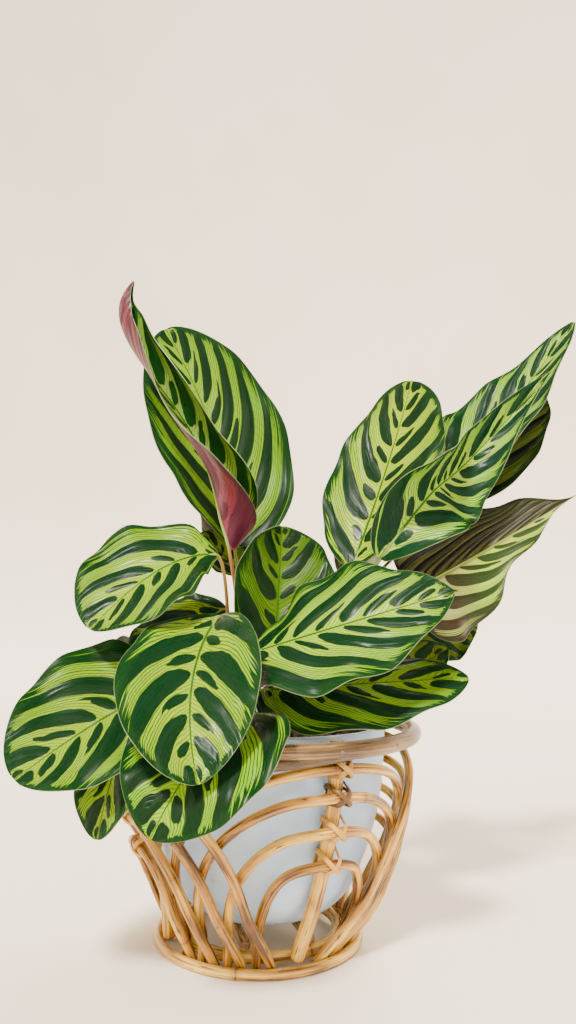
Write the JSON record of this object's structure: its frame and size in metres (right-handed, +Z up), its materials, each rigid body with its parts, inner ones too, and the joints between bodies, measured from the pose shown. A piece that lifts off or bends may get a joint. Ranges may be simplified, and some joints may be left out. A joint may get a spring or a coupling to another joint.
{
  "type": "potted calathea in a rattan basket",
  "caption": "Potted calathea with broad patterned leaves on long stalks, in a plain ceramic pot that stands in an open basket of bent rattan canes.",
  "frame": {"origin": "under the middle of the whole, on the surface that the basket stands on", "axes": "+X to the right and +Y to the back as the picture shows it, +Z up"},
  "size_m": [0.5236, 0.4112, 0.6173],
  "materials": {
    "rattan_rim": "satin peeled cane",
    "rattan_base": "satin peeled cane, paler",
    "rattan": "satin peeled cane",
    "cane_peel": "satin split cane",
    "pot_ceramic": "smooth matt white",
    "soil": "rough damp potting compost",
    "leaf": "glossy leaf"
  },
  "bodies": {
    "root": {"rim": "rattan_rim", "base_ring_outer": "rattan_base", "base_ring_inner": "rattan_base", "base_bar_left": "rattan", "base_bar_right": "rattan", "post_front": "rattan", "arch_front_1": "rattan", "arch_front_2": "rattan", "arch_front_3": "rattan", "arch_front_4": "rattan", "binding_front": "cane_peel", "post_right": "rattan", "arch_right_1": "rattan", "arch_right_2": "rattan", "arch_right_3": "rattan", "arch_right_4": "rattan", "binding_right": "cane_peel", "post_back": "rattan", "arch_back_1": "rattan", "arch_back_2": "rattan", "arch_back_3": "rattan", "arch_back_4": "rattan", "binding_back": "cane_peel", "post_left": "rattan", "arch_left_1": "rattan", "arch_left_2": "rattan", "arch_left_3": "rattan", "arch_left_4": "rattan", "binding_left": "cane_peel", "pot": "pot_ceramic", "soil": "soil", "leaf_upright_left": "leaf", "leaf_rolled": "leaf", "leaf_upright_right": "leaf", "leaf_right_front": "leaf", "leaf_right_back": "leaf", "leaf_right_shade": "leaf", "leaf_right_folded": "leaf", "leaf_right_low_back": "leaf", "leaf_right_low": "leaf", "leaf_centre_front": "leaf", "leaf_centre_low": "leaf", "leaf_centre_upright": "leaf", "leaf_left_upper": "leaf", "leaf_left": "leaf", "leaf_front": "leaf", "leaf_left_inner": "leaf", "leaf_left_low": "leaf", "leaf_front_low": "leaf", "leaf_left_behind": "leaf", "leaf_small_right": "leaf", "leaf_back_tall": "leaf", "leaf_back_right": "leaf", "leaf_back_left_low": "leaf", "leaf_back_low": "leaf", "leaf_back_right_low": "leaf", "leaf_back_upper": "leaf"}
  },
  "joints": []
}
